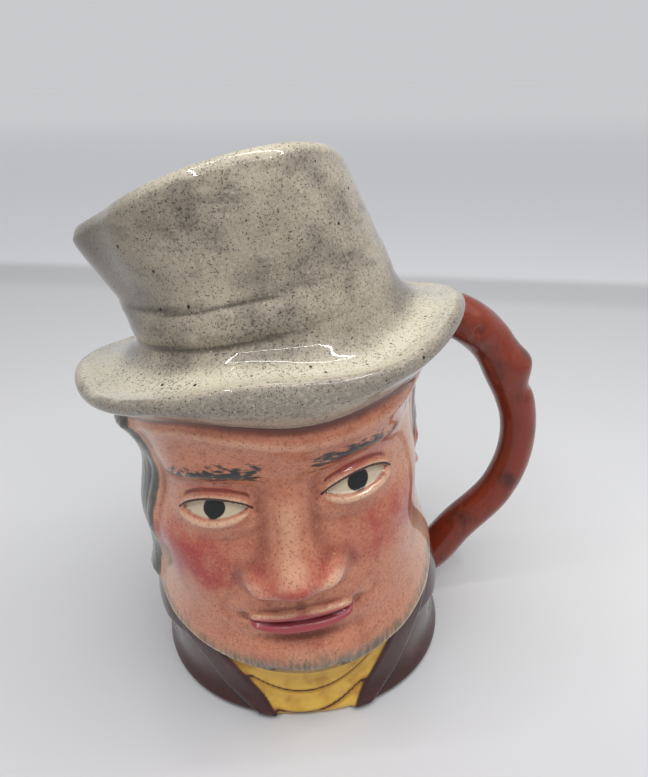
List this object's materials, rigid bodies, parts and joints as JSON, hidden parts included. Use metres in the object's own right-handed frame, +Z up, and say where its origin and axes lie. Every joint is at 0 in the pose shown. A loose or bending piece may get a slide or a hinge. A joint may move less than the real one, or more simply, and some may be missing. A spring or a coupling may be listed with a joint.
{
  "type": "character jug",
  "caption": "Head-shaped glazed earthenware jug: a hollow head in a leaning top hat whose open crown pours, with a branch handle.",
  "frame": {"origin": "middle of the flat foot, on the surface the jug stands on", "axes": "+Z up; the face looks along -Y, the handle is on +X and the pouring beak on -X"},
  "size_m": [0.1499, 0.1094, 0.1672],
  "materials": {
    "glazed_earthenware": "glossy hand-painted glaze"
  },
  "bodies": {
    "root": {"jug": "glazed_earthenware"}
  },
  "joints": []
}
